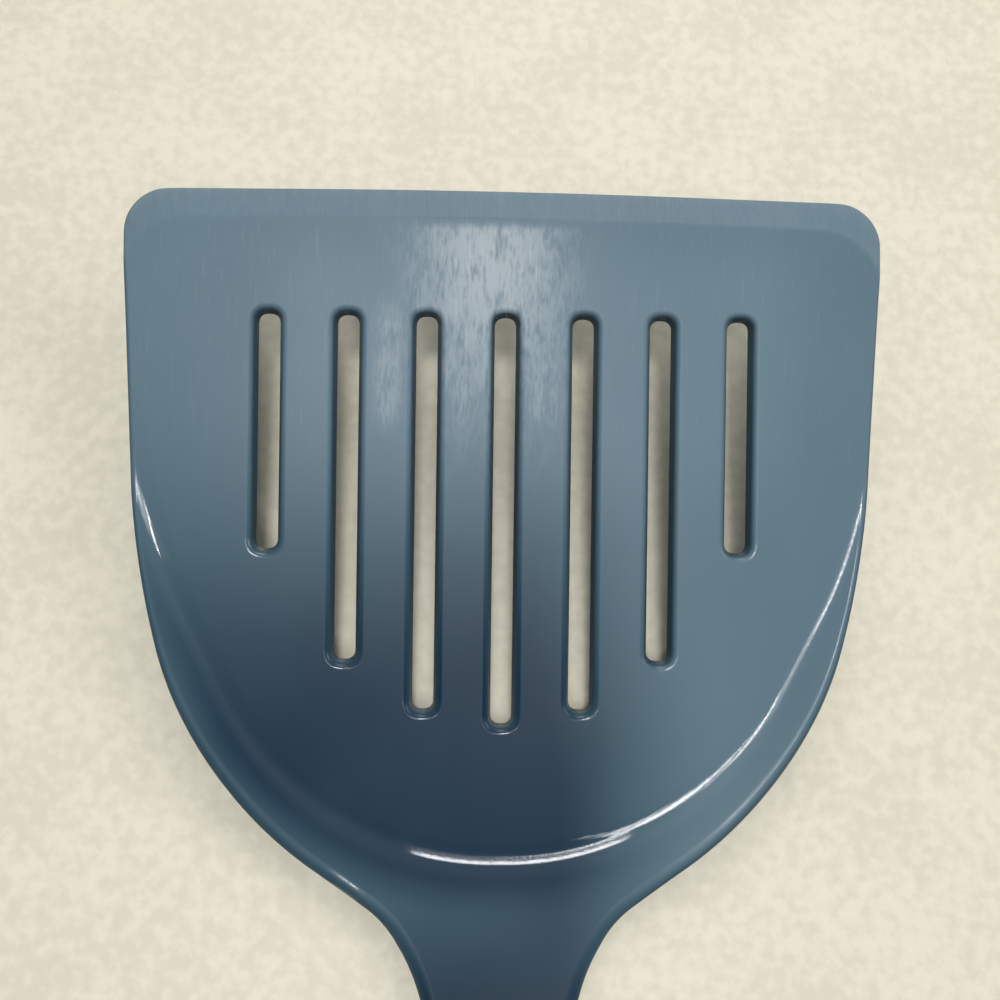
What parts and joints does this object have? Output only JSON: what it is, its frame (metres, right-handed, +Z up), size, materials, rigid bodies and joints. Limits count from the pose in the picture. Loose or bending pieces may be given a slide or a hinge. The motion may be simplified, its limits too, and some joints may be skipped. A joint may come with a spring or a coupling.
{
  "type": "slotted turner",
  "caption": "Slotted kitchen turner with a wide flat blade, a curved rim, a straight neck and a soft-grip handle with a hanging eyelet.",
  "frame": {"origin": "centre of the bounding box's base: the worktop under the middle of the turner as it lies on its heel and its handle", "axes": "+Y from the handle towards the blade's front edge, +Z up out of the blade's dish, +X across to the right seen from above with the blade away from the viewer"},
  "size_m": [0.0994, 0.3408, 0.0228],
  "materials": {
    "slate_nylon": "satin, finely scratched by use",
    "slate_shell": "satin",
    "grip_rubber": "matte",
    "satin_steel": "brushed"
  },
  "bodies": {
    "root": {"turner_head": "slate_nylon", "neck_collar": "satin_steel", "handle_upper_shell": "slate_shell", "handle_lower_shell": "slate_shell", "soft_grip": "grip_rubber", "end_cap": "slate_shell", "hang_eyelet": "satin_steel", "tang_pin_front": "satin_steel", "tang_pin_rear": "satin_steel"}
  },
  "joints": []
}
